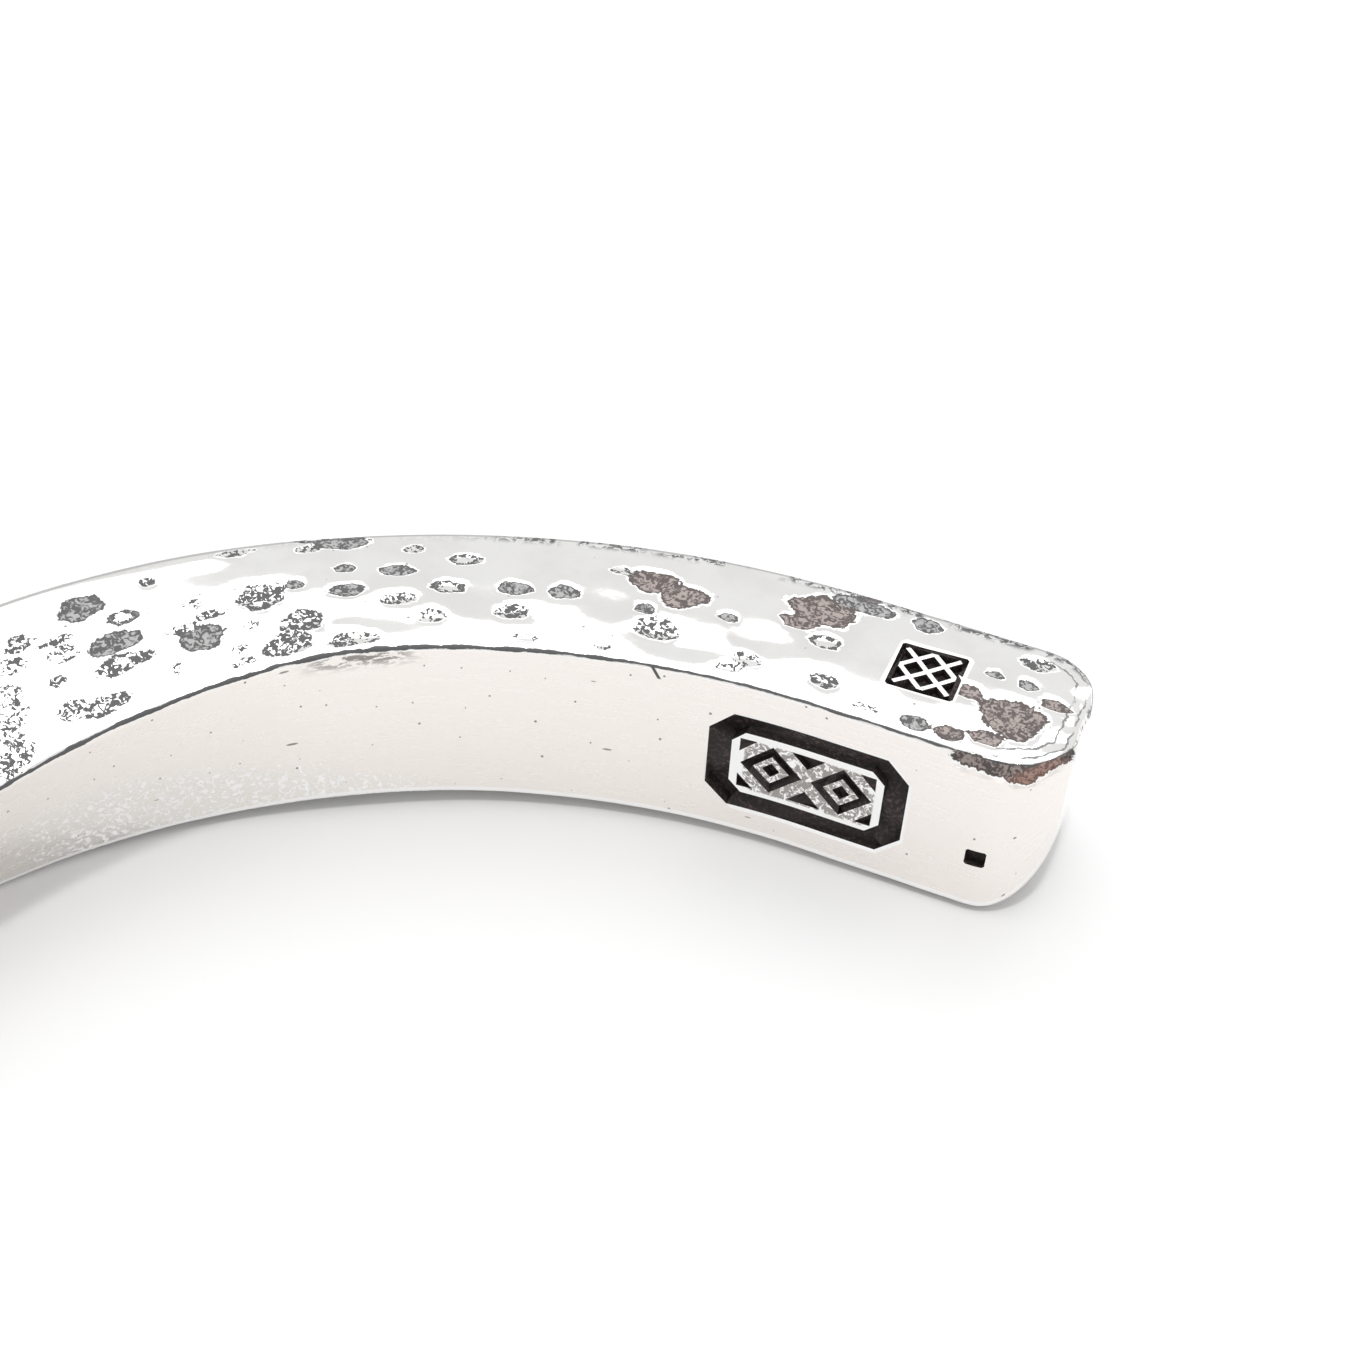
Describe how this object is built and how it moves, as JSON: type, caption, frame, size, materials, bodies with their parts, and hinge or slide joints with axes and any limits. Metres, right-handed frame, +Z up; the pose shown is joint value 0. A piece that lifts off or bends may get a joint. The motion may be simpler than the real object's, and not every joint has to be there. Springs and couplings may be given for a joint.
{
  "type": "twisted cuff bangle",
  "caption": "Open oval cuff forged from one nearly square silver bar, hammered on three faces, given half a turn, with plain blunt ends.",
  "frame": {"origin": "under the middle of the bangle's box, on the surface that it lies on", "axes": "+Z up out of the surface, +X along the oval's long axis toward the marked end's side, and the opening between the tips toward -Y"},
  "size_m": [0.0704, 0.0558, 0.0082],
  "materials": {
    "silver": "hammered and polished silver with dark oxidised pits, one face smooth and satin"
  },
  "bodies": {
    "root": {"bangle": "silver"}
  },
  "joints": []
}
